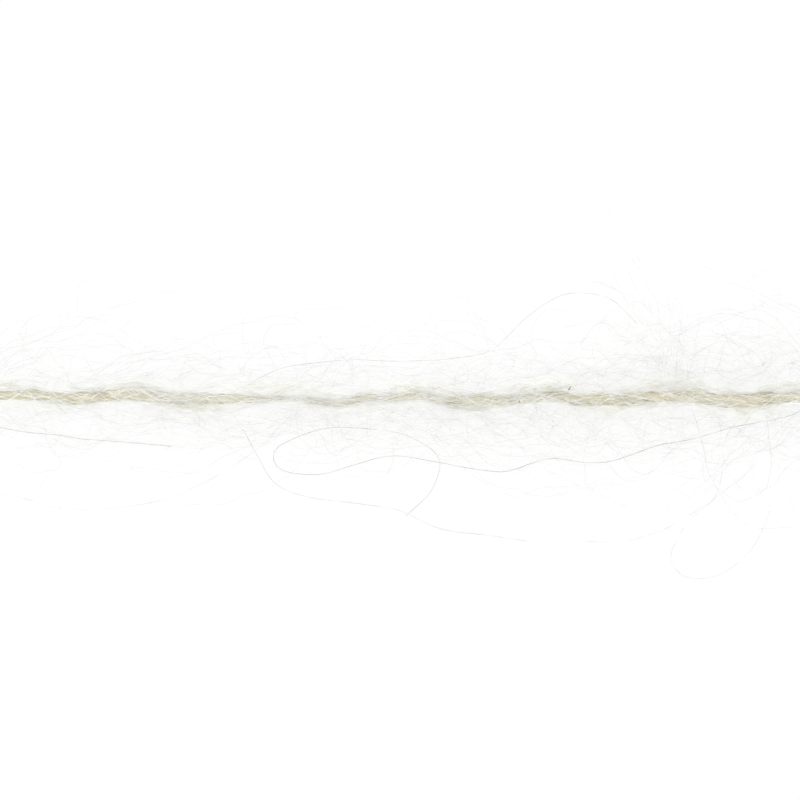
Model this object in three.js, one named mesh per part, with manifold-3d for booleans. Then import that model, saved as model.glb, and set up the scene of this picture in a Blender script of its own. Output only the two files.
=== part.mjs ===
// A cut length of brushed alpaca yarn: one loosely twisted strand that lies along X on a flat
// surface, with the halo of loose wisps and single hairs that a brushed yarn has.
// Millimetres, +Z up. The origin is on the surface, in the middle of the contact patch nearest the
// middle of the strand.

import * as THREE from 'three';
import { mergeVertices } from 'three/addons/utils/BufferGeometryUtils.js';
import Module from 'manifold-3d';

// The strand body, between its two plain cut ends
const STRAND_START = -45.5;
const STRAND_END = 50.5;
const STRAND_STEPS = 104;
const STRAND_SIDES = 12;
const FLATNESS = 0.86; // height over width
const LOBE = 0.11; // how far the two lobes stand out, as a share of the radius
const LIFT = 0.5; // how far the strand rises between its contact patches
const SINK = 0.12; // how far the soft strand is pressed flat where it rests

// A row for each half turn of the twist, first one on the +Y side and then one on the -Y side:
// its place along the strand, the sideways sway of the strand's middle, and the width
const HALF_TURNS = [
  { x: -50.5, sway: 0.3, width: 1.4 },
  { x: -44.2, sway: -0.3, width: 1.4 },
  { x: -37.5, sway: 0.5, width: 1.55 },
  { x: -31.0, sway: -0.15, width: 1.5 },
  { x: -25.0, sway: 0.4, width: 1.7 },
  { x: -16.5, sway: -0.45, width: 2.0 },
  { x: -10.0, sway: 0.35, width: 1.6 },
  { x: -3.0, sway: -0.4, width: 1.5 },
  { x: 3.0, sway: 0.3, width: 1.4 },
  { x: 10.0, sway: -0.35, width: 1.85 },
  { x: 17.0, sway: 0.4, width: 1.75 },
  { x: 23.0, sway: -0.45, width: 2.0 },
  { x: 29.5, sway: 0.4, width: 2.5 },
  { x: 36.5, sway: -0.55, width: 2.2 },
  { x: 42.5, sway: 0.5, width: 2.1 },
  { x: 49.0, sway: -0.3, width: 1.8 },
  { x: 55.5, sway: 0.3, width: 1.7 },
];

// The halo's wisps are bundles of hairs with a flat side down, thinner towards their pointed tips
const WISP_SIDES = 3;
const WISP_STEPS = 8;
const WISP_ROOT_RADIUS = 0.12;
const WISP_TIP_RADIUS = 0.055;
const WISP_SINK_STEPS = 2.5; // steps in which a wisp on the surface comes down to it
const HAIR_STEP = 1.9; // the length of a long hair's steps
const HALO_HEIGHT = 7; // the tallest wisp above the strand's middle
const LONGEST_WISP = 25;
const SHORTEST_WISP = 5;
const END_OVERHANG = 1.5; // how far a wisp may reach past a cut end
const WISP_GAP = 0.48; // between the middles of two wisps, outside the strand body
const SAMPLE_STEP = 0.3; // between the points at which a wisp's room is tested
const BODY_GAP = 0.4; // between a wisp and the strand body, once it has left it
const LEFT_BODY_BY = 5; // the length along a wisp by which it has left the body
const MOST_TRIES = 400;
const SEED = 777;

// A row for each zone of the halo: its span along the strand, the side that it is on, how many
// wisps it has, how far they reach from the strand's middle, the angles to the strand at which
// they leave it, the share that curls round, and how steeply they may rise, in degrees
const ZONES = [
  { from: -44.5, to: -27.5, side: 1, count: 11, reach: 12, leave: [20, 65], curls: 0.3, rise: 60 },
  { from: -27.5, to: -13.5, side: 1, count: 10, reach: 7.5, leave: [13, 46], curls: 0.1, rise: 70 },
  { from: -13.5, to: 18.5, side: 1, count: 18, reach: 5.5, leave: [13, 40], curls: 0.05, rise: 75 },
  { from: 18.5, to: 26.5, side: 1, count: 8, reach: 10, leave: [25, 65], curls: 0.2, rise: 65 },
  { from: 26.5, to: 34.5, side: 1, count: 6, reach: 13, leave: [30, 88], curls: 0.3, rise: 50 },
  { from: 34.5, to: 49.5, side: 1, count: 12, reach: 15.5, leave: [25, 80], curls: 0.4, rise: 55 },
  { from: -44.5, to: -19.5, side: -1, count: 12, reach: 9, leave: [15, 50], curls: 0.15, rise: 60 },
  { from: -19.5, to: -7.5, side: -1, count: 7, reach: 7, leave: [15, 48], curls: 0.1, rise: 60 },
  { from: -7.5, to: 18.5, side: -1, count: 19, reach: 11, leave: [30, 78], curls: 0.2, rise: 60 },
  { from: 18.5, to: 30.5, side: -1, count: 6, reach: 7.5, leave: [15, 46], curls: 0.1, rise: 60 },
  { from: 30.5, to: 49.5, side: -1, count: 10, reach: 17, leave: [28, 76], curls: 0.5, rise: 45 },
];
const FLOOR_SHARE = 0.35; // of a zone's wisps lie level on the surface
const LEAST_RISE = 6; // degrees, for the others
const REACH_SHARES = [0.3, 1]; // of a zone's reach
const BEND_SHARES = [0.7, 2.1]; // how far a wisp turns back, as a share of its leaving angle
const CURL_ANGLES = [190, 300]; // degrees that a curling wisp turns
const SWING_ANGLES = [3, 22]; // degrees that a wisp sways to and fro as it goes
const SWING_WAVES = [0.6, 1.8]; // times that it does so over its length

// The tuft that stands out from the +Y side: a fan of nearly straight wisps
const TUFT = {
  x: 29.2, spread: 3.4, count: 8, lengths: [13, 24], lean: [88, 120], bend: [-34, 34], rise: [3, 19],
};

// The long single hairs that show best, each from its root in the strand body to its tip. The
// columns are the place along the strand, the place across it and the height of the underside
const LONG_HAIRS = {
  lowerLeft: [[-44.5, -0.2, 0.6], [-41, -2, 0.5], [-37.5, -3.1, 0], [-31.5, -3.9, 0], [-20.5, -5, 0]],
  rightLoop: [
    [45, 0.1, 0.8], [42, -1.7, 0.9], [36, -3, 0.7], [32.5, -4, 0.4], [28.5, -4.8, 0],
    [23, -6.6, 0], [17.5, -6.2, 0], [13, -7.5, 0], [6.5, -6.6, 0], [1, -6, 0], [-5.5, -7.8, 0],
    [-9.8, -7.2, 0], [-10.2, -5.6, 0], [-6.5, -3.5, 0], [-2.5, -3.1, 0.3], [3.5, -4.1, 0.8],
    [6.4, -6.1, 1], [5.7, -9.3, 0.5], [3, -12, 0],
  ],
  upperArch: [
    [-15, -0.2, 0.8], [-12, 1.7, 1.4], [-9, 3, 1.6], [-4, 3.6, 1.6], [2, 3.6, 1.8], [7, 3.8, 2.2],
    [11.5, 4.7, 2.6], [15, 7.9, 3], [19, 10.2, 3], [23, 10, 2.8], [26, 7.4, 2.6],
  ],
  lowerRightLoop: [
    [38.5, -0.6, 0.7], [35.3, -3.6, 1.2], [34.7, -7.3, 1.2], [34, -10, 1], [31, -13, 0.5],
    [29.7, -16.3, 0], [31, -18, 0], [34.5, -18, 0], [38, -15, 0], [39.6, -11.5, 0],
  ],
  lowerRightRun: [
    [44, 0, 0.8], [40.5, -3.2, 0.6], [37.2, -7.6, 0.2], [32.5, -11.3, 0], [26.5, -14.2, 0],
    [19, -14.5, 0],
  ],
  lowerLeftSweep: [
    [-7, -0.2, 0.6], [-9.2, -2.6, 0.7], [-13, -6.2, 0.8], [-17.5, -8.8, 0.4], [-21.5, -10.3, 0],
    [-29.5, -11.3, 0], [-37.5, -9.6, 0],
  ],
  lowerMiddle: [
    [-16.5, -0.6, 0.7], [-13.4, -3.2, 0.3], [-11.8, -6, 0], [-9.5, -9, 0], [-2.5, -10.6, 0],
    [1.5, -11.1, 0.5], [6.5, -13.1, 0], [15.2, -14.4, 0],
  ],
  lowerRightFlick: [[31.5, -0.4, 0.7], [33, -4.9, 0], [33.6, -7.8, 0], [37.5, -12.8, 0], [43, -13.1, 0]],
  upperLeftTall: [[-24, 0.2, 0.8], [-25, 4.7, 1], [-26.7, 10.7, 2], [-27.8, 16.2, 3], [-27.2, 18.4, 3.4]],
  upperLeftShort: [[-22.2, 0.2, 0.8], [-23, 5.2, 1.4], [-23.3, 9.7, 2.6], [-24.5, 13.5, 3.4]],
  upperLeftCurl: [[-29, 0.1, 0.8], [-26.3, 2.4, 0.8], [-21.5, 5, 1], [-18.5, 5.5, 1.2], [-13.5, 7.9, 1.6]],
  upperLeftArc: [[-27, 0.2, 1], [-29, 4.2, 2.4], [-33, 9.7, 3.4], [-37.5, 11.9, 3.6]],
  raisedRight: [[31.4, 0.4, 1.6], [30.4, 4.7, 4.2], [26.5, 8.9, 5.6], [19.3, 12.4, 6.4]],
};

const UP = new THREE.Vector3(0, 0, 1);

// Evenly spread numbers from 0 to 1, the same in every run
function seededRandom(seed) {
  const multiplier = 16807;
  const modulus = 2147483647;
  let state = seed;
  return () => {
    state = (state * multiplier) % modulus;
    return state / modulus;
  };
}

const between = (low, high, share) => low + (high - low) * share;

// The strand's middle, half width, half height and turn at a place along it
function strandAt(x) {
  let row = 0;
  while (row < HALF_TURNS.length - 2 && x > HALF_TURNS[row + 1].x) {
    row += 1;
  }
  const here = HALF_TURNS[row];
  const next = HALF_TURNS[row + 1];
  const share = (x - here.x) / (next.x - here.x);
  const eased = (1 - Math.cos(Math.PI * share)) / 2;
  const turn = Math.PI * (row + share);
  const halfWidth = between(here.width, next.width, eased) / 2;
  const halfHeight = halfWidth * FLATNESS;
  return {
    y: between(here.sway, next.sway, eased),
    z: halfHeight - SINK + (LIFT * (1 + Math.sin(turn))) / 2,
    halfWidth,
    halfHeight,
    turn,
  };
}

// How far a point is outside the strand body
function distanceFromBody(point) {
  const strand = strandAt(point.x);
  const across = (point.y - strand.y) / strand.halfWidth;
  const up = (point.z - strand.z) / strand.halfHeight;
  return (Math.hypot(across, up) - 1 - LOBE) * strand.halfHeight;
}

// A closed rod whose points are placed by ring and by direction round the ring. The direction is
// a unit vector on the wall and nought on the axis
function rod(sides, steps, tipRadius, place) {
  const wall = new THREE.CylinderGeometry(tipRadius, 1, steps, sides, steps);
  wall.deleteAttribute('normal');
  wall.deleteAttribute('uv');
  const solid = mergeVertices(wall);
  const points = solid.attributes.position;
  for (let i = 0; i < points.count; i += 1) {
    const ring = Math.round(points.getY(i) + steps / 2);
    const length = Math.hypot(points.getX(i), points.getZ(i)) || 1;
    const point = place(ring, points.getX(i) / length, points.getZ(i) / length);
    points.setXYZ(i, point.x, point.y, point.z);
  }
  return solid;
}

// The twisted body, pressed flat where it rests
function strandBody() {
  return rod(STRAND_SIDES, STRAND_STEPS, 1, (ring, across, up) => {
    const x = between(STRAND_START, STRAND_END, ring / STRAND_STEPS);
    const strand = strandAt(x);
    const angle = Math.atan2(across, up);
    const lobed = 1 + LOBE * Math.cos(2 * (angle - strand.turn));
    const y = strand.y - across * strand.halfWidth * lobed;
    const z = strand.z + up * strand.halfHeight * lobed;
    return new THREE.Vector3(x, y, Math.max(0, z));
  });
}

// A tapered wisp along a path of points on its flat underside
function wispSolid(path) {
  const last = path.points.length - 1;
  const flatSide = Math.cos(Math.PI / WISP_SIDES);
  return rod(WISP_SIDES, last, 0, (ring, across, up) => {
    const point = path.points[ring];
    const ahead = path.points[Math.min(ring + 1, last)];
    const behind = path.points[Math.max(ring - 1, 0)];
    const along = ahead.clone().sub(behind).normalize();
    const top = path.normal.clone().addScaledVector(along, -path.normal.dot(along)).normalize();
    const right = along.clone().cross(top);
    const radius = between(WISP_ROOT_RADIUS, WISP_TIP_RADIUS, ring / last);
    const height = ring === last ? 0 : (up + flatSide) * radius;
    const placed = point.clone().addScaledVector(right, across * radius);
    placed.addScaledVector(top, height);
    return placed.setZ(Math.max(0, placed.z));
  });
}

// A long hair through its chosen points, no lower than the surface
function longHair(columns) {
  const curve = new THREE.CatmullRomCurve3(columns.map((column) => new THREE.Vector3(...column)));
  const points = curve.getSpacedPoints(Math.round(curve.getLength() / HAIR_STEP));
  points.forEach((point) => point.setZ(Math.max(0, point.z)));
  return { points, normal: UP };
}

// A curved run in a plane through the strand: it leaves at one angle and turns back as it goes
function curvedRun(shape) {
  const run = [{ along: 0, out: 0 }];
  for (let i = 0; i < WISP_STEPS; i += 1) {
    const share = (i + 0.5) / WISP_STEPS;
    const swing = shape.swing * Math.sin(2 * Math.PI * (share * shape.waves + shape.phase));
    const heading = THREE.MathUtils.degToRad(shape.leave - shape.bend * share + swing);
    const last = run[run.length - 1];
    run.push({ along: last.along + Math.cos(heading), out: last.out + Math.sin(heading) });
  }
  return run;
}

// The run laid out from its root: the plane rises from the surface by an angle, and a wisp with
// no rise sinks from the strand's middle to the surface within its first steps
function laidOut(run, rootX, way, side, scale, rise) {
  const root = strandAt(rootX);
  const outward = new THREE.Vector3(0, side * Math.cos(rise), Math.sin(rise));
  const points = run.map((step, i) => {
    const start = rise > 0 ? root.z : root.z * Math.max(0, 1 - i / WISP_SINK_STEPS);
    const out = step.out * scale;
    const y = root.y + outward.y * out;
    const z = Math.max(0, start + outward.z * out);
    return new THREE.Vector3(rootX + way * step.along * scale, y, z);
  });
  return { points, normal: new THREE.Vector3(0, -side * Math.sin(rise), Math.cos(rise)) };
}

function zoneWisp(zone, place, random) {
  const rootX = between(zone.from, zone.to, place);
  const way = random() < 0.5 ? -1 : 1;
  const leave = between(...zone.leave, random());
  const curls = random() < zone.curls;
  const bendShare = random();
  const bend = curls ? between(...CURL_ANGLES, bendShare) : leave * between(...BEND_SHARES, bendShare);
  const run = curvedRun({
    leave,
    bend,
    swing: between(...SWING_ANGLES, random()),
    waves: between(...SWING_WAVES, random()),
    phase: random(),
  });
  const onFloor = random() < FLOOR_SHARE;
  const rise = onFloor ? 0 : THREE.MathUtils.degToRad(between(LEAST_RISE, zone.rise, random()));
  const furthest = Math.max(...run.map((step) => Math.abs(step.out)));
  const wanted = zone.reach * between(...REACH_SHARES, random());
  const reach = Math.min(wanted, HALO_HEIGHT / Math.sin(rise));
  const length = (WISP_STEPS * reach) / furthest;
  const kept = Math.min(LONGEST_WISP, Math.max(SHORTEST_WISP, length));
  return laidOut(run, rootX, way, zone.side, kept / WISP_STEPS, rise);
}

function tuftWisp(place, random) {
  const rootX = TUFT.x + TUFT.spread * (place - 0.5);
  const run = curvedRun({
    leave: between(...TUFT.lean, random()),
    bend: between(...TUFT.bend, random()),
    swing: between(...SWING_ANGLES, random()),
    waves: 1,
    phase: random(),
  });
  const rise = THREE.MathUtils.degToRad(between(...TUFT.rise, random()));
  const length = between(...TUFT.lengths, random());
  return laidOut(run, rootX, 1, 1, length / WISP_STEPS, rise);
}

// Points close together along a path, with the length from the root to each
function samplesAlong(path) {
  const samples = [];
  let travelled = 0;
  for (let i = 1; i < path.points.length; i += 1) {
    const from = path.points[i - 1];
    const to = path.points[i];
    const length = from.distanceTo(to);
    const pieces = Math.ceil(length / SAMPLE_STEP);
    for (let piece = 0; piece < pieces; piece += 1) {
      const point = from.clone().lerp(to, piece / pieces);
      samples.push({ point, travelled: travelled + (length * piece) / pieces });
    }
    travelled += length;
  }
  samples.push({ point: path.points[path.points.length - 1], travelled });
  return samples;
}

// Whether a wisp leaves the body for good and stays within the cut length
function leavesBody(samples) {
  return samples.every(({ point, travelled }) => {
    const inside = point.x > STRAND_START - END_OVERHANG && point.x < STRAND_END + END_OVERHANG;
    return inside && (travelled < LEFT_BODY_BY || distanceFromBody(point) > BODY_GAP);
  });
}

// The part of a wisp that is outside the body, where wisps have to stand apart
const outsideBody = (samples) => samples.filter(({ point }) => distanceFromBody(point) > 0);

const standsApart = (samples, others) => samples.every(({ point }) =>
  others.every((other) => other.point.distanceTo(point) > WISP_GAP));

// Every wisp of the halo: the long hairs, the tuft and the zones
function haloPaths() {
  const random = seededRandom(SEED);
  const paths = Object.values(LONG_HAIRS).map(longHair);
  const taken = paths.flatMap((path) => outsideBody(samplesAlong(path)));
  const plant = (count, makeWisp) => {
    for (let i = 0; i < count; i += 1) {
      for (let tries = 0; tries < MOST_TRIES; tries += 1) {
        const path = makeWisp((i + random()) / count, random);
        const samples = samplesAlong(path);
        const outside = outsideBody(samples);
        if (leavesBody(samples) && standsApart(outside, taken)) {
          paths.push(path);
          taken.push(...outside);
          break;
        }
      }
    }
  };
  plant(TUFT.count, tuftWisp);
  ZONES.forEach((zone) => plant(zone.count, (place) => zoneWisp(zone, place, random)));
  return paths;
}

const wasm = await Module();
wasm.setup();

function solidOf(geometry) {
  const mesh = new wasm.Mesh({
    numProp: 3,
    vertProperties: geometry.attributes.position.array,
    triVerts: new Uint32Array(geometry.index.array),
  });
  return new wasm.Manifold(mesh);
}

// The body and its halo as one solid, because the wisps are the strand's own fibres
function yarnGeometry() {
  const body = solidOf(strandBody());
  const joined = haloPaths().reduce((whole, path) => whole.add(solidOf(wispSolid(path))), body);
  const mesh = joined.getMesh();
  const geometry = new THREE.BufferGeometry();
  geometry.setAttribute('position', new THREE.BufferAttribute(mesh.vertProperties, 3));
  geometry.setIndex(new THREE.BufferAttribute(mesh.triVerts, 1));
  geometry.computeVertexNormals();
  return geometry;
}

function yarnStrand() {
  const fibre = new THREE.MeshStandardMaterial({ color: 0xdcd7bd, roughness: 0.95, metalness: 0 });
  const strand = new THREE.Mesh(yarnGeometry(), fibre);
  strand.name = 'yarn_strand';
  return strand;
}

const alpacaYarn = new THREE.Group();
alpacaYarn.add(yarnStrand());

export default alpacaYarn;
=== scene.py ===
"""The looks of a cut length of brushed alpaca yarn: a loosely twisted strand of cream fibre that lies
on a pale surface, with its halo of fine hairs, seen from straight above.

Shapes are worked out in millimetres, as in the part's source, and made in metres."""

import math

import bpy
import numpy as np
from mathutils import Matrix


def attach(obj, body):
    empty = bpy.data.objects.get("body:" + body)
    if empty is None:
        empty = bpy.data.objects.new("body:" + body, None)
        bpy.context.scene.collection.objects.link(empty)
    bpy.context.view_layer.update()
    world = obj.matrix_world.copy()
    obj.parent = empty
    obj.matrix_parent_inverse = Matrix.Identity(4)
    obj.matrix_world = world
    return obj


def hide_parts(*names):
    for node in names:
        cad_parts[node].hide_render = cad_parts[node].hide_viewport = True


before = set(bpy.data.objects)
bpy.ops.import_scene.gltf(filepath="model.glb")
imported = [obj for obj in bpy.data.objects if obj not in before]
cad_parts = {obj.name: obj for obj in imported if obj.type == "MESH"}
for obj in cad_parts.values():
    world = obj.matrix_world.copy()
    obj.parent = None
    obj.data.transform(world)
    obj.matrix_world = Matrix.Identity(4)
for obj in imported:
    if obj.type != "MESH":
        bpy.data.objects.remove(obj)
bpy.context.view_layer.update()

MM = 0.001

# The view: straight down, with the photographed stretch of the strand in the middle
VIEW_WIDTH = 80.0
VIEW_CENTRE = (2.5, -0.3, 1.0)
LENS = 100.0
SENSOR = 36.0
NEAREST_SEEN = 10.0

# The floor and the light
FLOOR_SIZE = 900.0
FLOOR_GAP = 0.02
FLOOR_SHADE = 0.12
FLOOR_GLOW = 0.815
SKY_STRENGTH = 1.45
SOFTBOX = dict(size=500.0, power=0.9, place=(-150.0, 250.0, 500.0), tilt=(-26.0, -16.0))

# The strand body, between its two plain cut ends: how flat its section is, how far its two lobes
# stand out, how far it lifts between its patches on the surface, and how far it is pressed flat
STRAND_START = -45.5
STRAND_END = 50.5
FLATNESS = 0.86
LOBE = 0.11
LIFT = 0.5
SINK = 0.12

# A row for each half turn of the twist: its place along the strand, the sideways sway of the
# strand's middle, and the width
HALF_TURNS = np.array([
    (-50.5, 0.3, 1.4),
    (-44.2, -0.3, 1.4),
    (-37.5, 0.5, 1.55),
    (-31.0, -0.15, 1.5),
    (-25.0, 0.4, 1.7),
    (-16.5, -0.45, 2.0),
    (-10.0, 0.35, 1.6),
    (-3.0, -0.4, 1.5),
    (3.0, 0.3, 1.4),
    (10.0, -0.35, 1.85),
    (17.0, 0.4, 1.75),
    (23.0, -0.45, 2.0),
    (29.5, 0.4, 2.5),
    (36.5, -0.55, 2.2),
    (42.5, 0.5, 2.1),
    (49.0, -0.3, 1.8),
    (55.5, 0.3, 1.7),
])

# The halo's wisps, planted as in the part's source, so that each solid wisp has its hairs
WISP_STEPS = 8
WISP_SINK_STEPS = 2.5
HAIR_STEP = 1.9
HALO_HEIGHT = 7.0
LONGEST_WISP = 25.0
SHORTEST_WISP = 5.0
END_OVERHANG = 1.5
WISP_GAP = 0.48
SAMPLE_STEP = 0.3
BODY_GAP = 0.4
LEFT_BODY_BY = 5.0
MOST_TRIES = 400
SEED = 777

# A row for each zone of the halo: its span along the strand, the side that it is on, how many
# wisps and loose hairs it has, how far they reach, the angles at which they leave the strand, the
# share that curls round, and how steeply they may rise, in degrees. The rows without wisps only add
# loose hairs, and come last, so that the others are planted as in the part's source
ZONES = (
    dict(start=-44.5, end=-27.5, side=1, wisps=11, hairs=36, reach=12, leave=(20, 65), curls=0.3, rise=60),
    dict(start=-27.5, end=-13.5, side=1, wisps=10, hairs=28, reach=7.5, leave=(13, 46), curls=0.1, rise=70),
    dict(start=-13.5, end=18.5, side=1, wisps=18, hairs=64, reach=5.5, leave=(13, 40), curls=0.05, rise=75),
    dict(start=18.5, end=26.5, side=1, wisps=8, hairs=30, reach=10, leave=(25, 65), curls=0.2, rise=65),
    dict(start=26.5, end=34.5, side=1, wisps=6, hairs=22, reach=13, leave=(30, 88), curls=0.3, rise=50),
    dict(start=34.5, end=49.5, side=1, wisps=12, hairs=34, reach=15.5, leave=(25, 80), curls=0.4, rise=55),
    dict(start=-44.5, end=-19.5, side=-1, wisps=12, hairs=64, reach=9, leave=(15, 50), curls=0.15, rise=60),
    dict(start=-19.5, end=-7.5, side=-1, wisps=7, hairs=34, reach=7, leave=(15, 48), curls=0.1, rise=60),
    dict(start=-7.5, end=18.5, side=-1, wisps=19, hairs=87, reach=11, leave=(30, 78), curls=0.2, rise=60),
    dict(start=18.5, end=30.5, side=-1, wisps=6, hairs=34, reach=7.5, leave=(15, 46), curls=0.1, rise=60),
    dict(start=30.5, end=49.5, side=-1, wisps=10, hairs=79, reach=17, leave=(28, 76), curls=0.5, rise=45),
    dict(start=10.5, end=26.5, side=1, wisps=0, hairs=22, reach=9.5, leave=(25, 75), curls=0.3, rise=60),
    dict(start=31.0, end=49.5, side=1, wisps=0, hairs=38, reach=15.5, leave=(40, 85), curls=0.75, rise=35),
    dict(start=-12.0, end=8.0, side=-1, wisps=0, hairs=52, reach=13.5, leave=(30, 80), curls=0.6, rise=45),
    dict(start=31.0, end=49.5, side=-1, wisps=0, hairs=22, reach=17, leave=(30, 80), curls=0.8, rise=35),
    dict(start=-44.5, end=-27.0, side=1, wisps=0, hairs=18, reach=13, leave=(40, 85), curls=0.8, rise=40),
)

# For the hairs of all zones: the share on the surface, the least rise of the others, how much of
# the zone's reach they have, how far they bend back or curl round, and how they swing
FLOOR_SHARE = 0.35
LEAST_RISE = 6.0
REACH_SHARES = (0.3, 1.0)
BEND_SHARES = (0.7, 2.1)
CURL_ANGLES = (190.0, 300.0)
SWING_ANGLES = (3.0, 22.0)
SWING_WAVES = (0.6, 1.8)

# The tuft that stands out from the +Y side: a fan of nearly straight wisps
TUFT = dict(x=29.2, spread=3.4, count=8, lengths=(13, 24), lean=(88, 120), bend=(-34, 34), rise=(3, 19))

# The long single hairs that show best, each from its root in the strand body to its tip: its
# radius, its shade, and points with columns for the place along the strand, the place across it
# and the height of the underside
LONG_HAIRS = (
    dict(radius=0.028, shade=0.1, points=(
        (-44.5, -0.2, 0.6), (-41, -2, 0.5), (-37.5, -3.1, 0), (-31.5, -3.9, 0), (-20.5, -5, 0),
    )),
    dict(radius=0.029, shade=0.1, points=(
        (45, 0.1, 0.8), (42, -1.7, 0.9), (36, -3, 0.7), (32.5, -4, 0.4), (28.5, -4.8, 0),
        (23, -6.6, 0), (17.5, -6.2, 0), (13, -7.5, 0), (6.5, -6.6, 0), (1, -6, 0), (-5.5, -7.8, 0),
        (-9.8, -7.2, 0), (-10.2, -5.6, 0), (-6.5, -3.5, 0), (-2.5, -3.1, 0.3), (3.5, -4.1, 0.8),
        (6.4, -6.1, 1), (5.7, -9.3, 0.5), (3, -12, 0),
    )),
    dict(radius=0.026, shade=0.2, points=(
        (-15, -0.2, 0.8), (-12, 1.7, 1.4), (-9, 3, 1.6), (-4, 3.6, 1.6), (2, 3.6, 1.8), (7, 3.8, 2.2),
        (11.5, 4.7, 2.6), (15, 7.9, 3), (19, 10.2, 3), (23, 10, 2.8), (26, 7.4, 2.6),
    )),
    dict(radius=0.027, shade=0.45, points=(
        (38.5, -0.6, 0.7), (35.3, -3.6, 1.2), (34.7, -7.3, 1.2), (34, -10, 1), (31, -13, 0.5),
        (29.7, -16.3, 0), (31, -18, 0), (34.5, -18, 0), (38, -15, 0), (39.6, -11.5, 0),
    )),
    dict(radius=0.024, shade=0.5, points=(
        (44, 0, 0.8), (40.5, -3.2, 0.6), (37.2, -7.6, 0.2), (32.5, -11.3, 0), (26.5, -14.2, 0),
        (19, -14.5, 0),
    )),
    dict(radius=0.026, shade=0.5, points=(
        (-7, -0.2, 0.6), (-9.2, -2.6, 0.7), (-13, -6.2, 0.8), (-17.5, -8.8, 0.4), (-21.5, -10.3, 0),
        (-29.5, -11.3, 0), (-37.5, -9.6, 0),
    )),
    dict(radius=0.026, shade=0.3, points=(
        (-16.5, -0.6, 0.7), (-13.4, -3.2, 0.3), (-11.8, -6, 0), (-9.5, -9, 0), (-2.5, -10.6, 0),
        (1.5, -11.1, 0.5), (6.5, -13.1, 0), (15.2, -14.4, 0),
    )),
    dict(radius=0.022, shade=0.5, points=(
        (31.5, -0.4, 0.7), (33, -4.9, 0), (33.6, -7.8, 0), (37.5, -12.8, 0), (43, -13.1, 0),
    )),
    dict(radius=0.016, shade=0.7, points=(
        (-24, 0.2, 0.8), (-25, 4.7, 1), (-26.7, 10.7, 2), (-27.8, 16.2, 3), (-27.2, 18.4, 3.4),
    )),
    dict(radius=0.016, shade=0.7, points=(
        (-22.2, 0.2, 0.8), (-23, 5.2, 1.4), (-23.3, 9.7, 2.6), (-24.5, 13.5, 3.4),
    )),
    dict(radius=0.018, shade=0.6, points=(
        (-29, 0.1, 0.8), (-26.3, 2.4, 0.8), (-21.5, 5, 1), (-18.5, 5.5, 1.2), (-13.5, 7.9, 1.6),
    )),
    dict(radius=0.018, shade=0.6, points=(
        (-27, 0.2, 1), (-29, 4.2, 2.4), (-33, 9.7, 3.4), (-37.5, 11.9, 3.6),
    )),
    dict(radius=0.022, shade=0.5, points=(
        (31.4, 0.4, 1.6), (30.4, 4.7, 4.2), (26.5, 8.9, 5.6), (19.3, 12.4, 6.4),
    )),
)

# The packed fibre inside the strand, which wanders within the loose fibre round it: places along
# the strand, with its middle across the strand and its half width
PACKED_PLACES = (
    (-45.5, 0.1, 0.44), (-37.5, 0.15, 0.42), (-34.5, 0.25, 0.44), (-33, 0.1, 0.42),
    (-30.5, -0.2, 0.6), (-27.5, 0.1, 0.52), (-25, 0.25, 0.62), (-22.5, 0.15, 0.52),
    (-20, -0.2, 0.42), (-18.3, -0.35, 0.46), (-16.5, -0.2, 0.62), (-14.5, -0.2, 0.44),
    (-12.5, -0.2, 0.3), (-11, -0.35, 0.2), (-9.5, -0.2, 0.16), (-7, -0.3, 0.18), (-5, -0.6, 0.24),
    (-3.3, -0.75, 0.26), (-1.5, -0.1, 0.28), (0, -0.1, 0.26), (1.7, -0.25, 0.32), (4, 0.2, 0.32),
    (5.5, 0, 0.26), (7, -0.4, 0.28), (9.5, -0.5, 0.5), (11, -0.35, 0.56), (12.5, -0.35, 0.4),
    (14.5, -0.25, 0.38), (17.5, 0.1, 0.5), (19, 0, 0.46), (20.5, -0.45, 0.42), (23, -0.25, 0.6),
    (25, -0.3, 0.58), (27.5, 0, 0.5), (31, 0.15, 0.52), (32.5, 0, 0.54), (34, -0.4, 0.52),
    (37.5, -0.4, 0.74), (40, -0.06, 0.44), (42, -0.03, 0.46), (46, -0.1, 0.5), (50.5, 0, 0.5),
)
PACKED_SMOOTHING = (-0.8, -0.4, 0, 0.4, 0.8)
CORE_SIDES = 28
CORE_STEPS = 300

# Rows of sizes for the fibres: how many, the points along each, their radius, their shade from
# 0, dark, to 1, light, and how much they are crimped and over what distance. Some rows also have:
# - length, depth and pace: the stretch of strand that a fibre covers, its depth as a share of the
#   half width, and how far its turning differs from the twist's
# - packed: whether it is wound on the packed fibre, or on the whole strand
# - covered: the share of the fibres that is left out where the pale cover is full
# - winding, hug and flare: how far round a crossing fibre winds, in degrees, how far out it lies,
#   and how much further out its ends are, as shares of the half width
# - forward: the share of the fibres that wind with the twist, or that run towards +X
# - reach, leave, bends and lengths: how far a fibre stands off, the angle at which it leaves, how
#   far it bends back, as a share of that angle, and the shortest and longest that it may be
# - skew: below 1, more of the hairs reach far
# - spread, kept, drift, sway, waves and knots: how far a wisp's hairs part, how much of the wisp
#   each follows, how they leave it and wave about it, and how finely its route is smoothed
INNER = dict(count=260, points=26, length=(8, 22), depth=(0.8, 1.15), pace=0.15, packed=True,
             covered=0.4, radius=(0.018, 0.038), shade=(0.0, 0.95), crimp=0.09, wave=1.1)
OUTER = dict(count=380, points=24, length=(3, 10), depth=(0.5, 1.25), pace=1.0, packed=False,
             covered=0.5, radius=(0.013, 0.03), shade=(0.4, 1.0), crimp=0.2, wave=1.4)
CROSSING = dict(count=360, points=22, length=(1.6, 6.5), winding=(80, 240), hug=(1.0, 1.4),
                flare=(0.0, 0.8), packed=True, forward=0.5, radius=(0.02, 0.044),
                shade=(0.85, 1.0), crimp=0.1, wave=2.0)
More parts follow.
